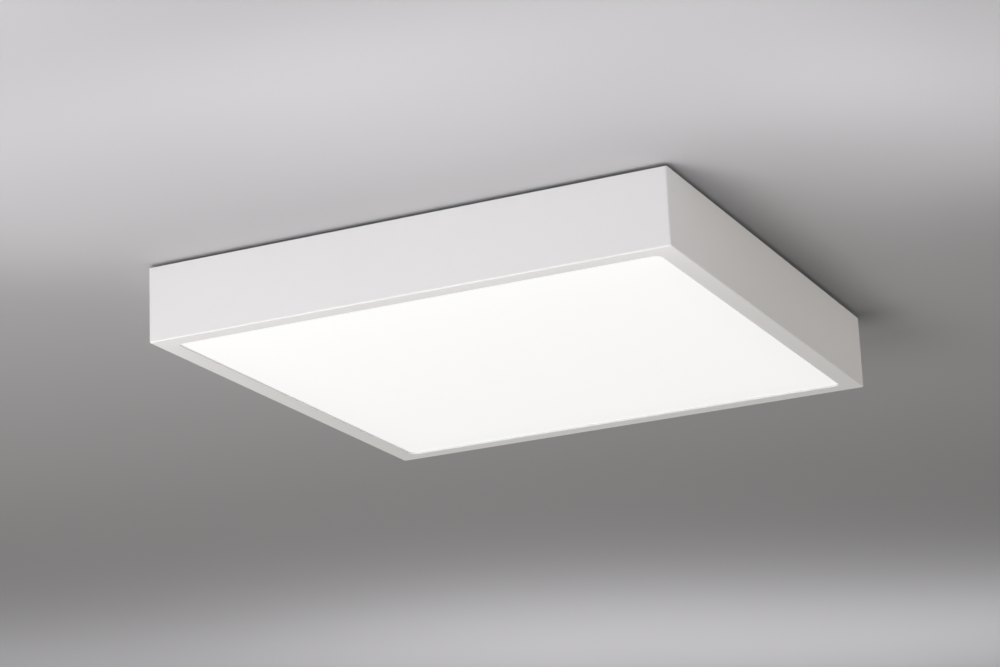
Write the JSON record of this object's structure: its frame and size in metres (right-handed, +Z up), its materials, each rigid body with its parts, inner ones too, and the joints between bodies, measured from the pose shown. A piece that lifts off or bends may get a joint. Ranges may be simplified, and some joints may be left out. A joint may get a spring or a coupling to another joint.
{
  "type": "led ceiling light",
  "caption": "Square surface-mounted LED ceiling light: a white folded housing with an opal diffuser, held by leaf springs over a ceiling plate with driver and LED boards.",
  "frame": {"origin": "on the ceiling plane, at the centre of the fixing slots", "axes": "+Z up into the ceiling, -Y out of the front wall, +X out of the right-hand wall"},
  "size_m": [0.4, 0.4, 0.0585],
  "materials": {
    "white_powder_coat": "satin",
    "opal_acrylic": "satin",
    "zinc_clamp": "satin",
    "zinc_fastener": "satin",
    "zinc_sheet": "satin",
    "black_rubber": "matte",
    "aluminium_rivet": "satin",
    "white_tray": "matte",
    "white_rail": "satin",
    "spring_steel": "satin",
    "board_white": "satin",
    "led_phosphor": "gloss",
    "connector_white": "satin",
    "link_white": "satin",
    "nylon_white": "satin",
    "terminal_white": "satin",
    "contact_brass": "satin",
    "button_grey": "satin",
    "button_blue": "satin",
    "button_green": "satin",
    "driver_white": "satin",
    "board_green": "satin",
    "component_dark": "satin",
    "tinned_copper": "satin",
    "lead_brown": "satin",
    "lead_blue": "satin",
    "lead_green_yellow": "satin",
    "lead_red": "satin",
    "lead_black": "satin"
  },
  "bodies": {
    "ceiling_gear": {"ceiling_plate": "zinc_sheet", "cable_grommet": "black_rubber", "latch_rivets": "aluminium_rivet", "standoffs": "zinc_fastener", "led_plate": "white_tray", "led_plate_screws": "zinc_fastener", "board_connectors": "connector_white", "board_links": "link_white", "board_rivets": "nylon_white", "lead_bush": "black_rubber", "terminal_block": "terminal_white", "terminal_contacts": "contact_brass", "terminal_screw": "zinc_fastener", "driver_base": "zinc_sheet", "driver_lid": "driver_white", "driver_board": "board_green", "driver_components": "component_dark", "driver_input": "terminal_white", "driver_output": "terminal_white", "driver_screws": "zinc_fastener", "earth_stud": "zinc_fastener", "earth_ring": "tinned_copper", "earth_nut": "contact_brass", "lead_line": "lead_brown", "lead_neutral": "lead_blue", "lead_earth": "lead_green_yellow", "lead_led_plus": "lead_red", "lead_led_minus": "lead_black", "latch_spring_right": "spring_steel", "latch_spring_back": "spring_steel", "latch_spring_left": "spring_steel", "latch_spring_front": "spring_steel", "led_board_1": "board_white", "leds_1": "led_phosphor", "led_board_2": "board_white", "leds_2": "led_phosphor", "led_board_3": "board_white", "leds_3": "led_phosphor", "led_board_4": "board_white", "leds_4": "led_phosphor"},
    "cover": {"housing_frame": "white_powder_coat", "diffuser": "opal_acrylic", "diffuser_clamps": "zinc_clamp", "clamp_studs": "zinc_fastener", "clamp_nuts": "zinc_fastener", "catch_rail_right": "white_rail", "catch_rail_back": "white_rail", "catch_rail_left": "white_rail", "catch_rail_front": "white_rail"},
    "line_button": {"button_line": "button_grey"},
    "neutral_button": {"button_neutral": "button_blue"},
    "earth_button": {"button_earth": "button_green"}
  },
  "joints": [
    {"name": "cover_drop", "type": "slide", "parent": "ceiling_gear", "child": "cover", "axis": [0, 0, -1], "range_m": [0, 0.09], "deforming": ["latch_spring_right", "latch_spring_back", "latch_spring_left", "latch_spring_front"]},
    {"name": "line_press", "type": "slide", "parent": "ceiling_gear", "child": "line_button", "axis": [0, 0, 1], "range_m": [0, 0.0015], "stiffness_N_per_m": 600, "springref_m": -0.002},
    {"name": "neutral_press", "type": "slide", "parent": "ceiling_gear", "child": "neutral_button", "axis": [0, 0, 1], "range_m": [0, 0.0015], "stiffness_N_per_m": 600, "springref_m": -0.002},
    {"name": "earth_press", "type": "slide", "parent": "ceiling_gear", "child": "earth_button", "axis": [0, 0, 1], "range_m": [0, 0.0015], "stiffness_N_per_m": 600, "springref_m": -0.002}
  ]
}
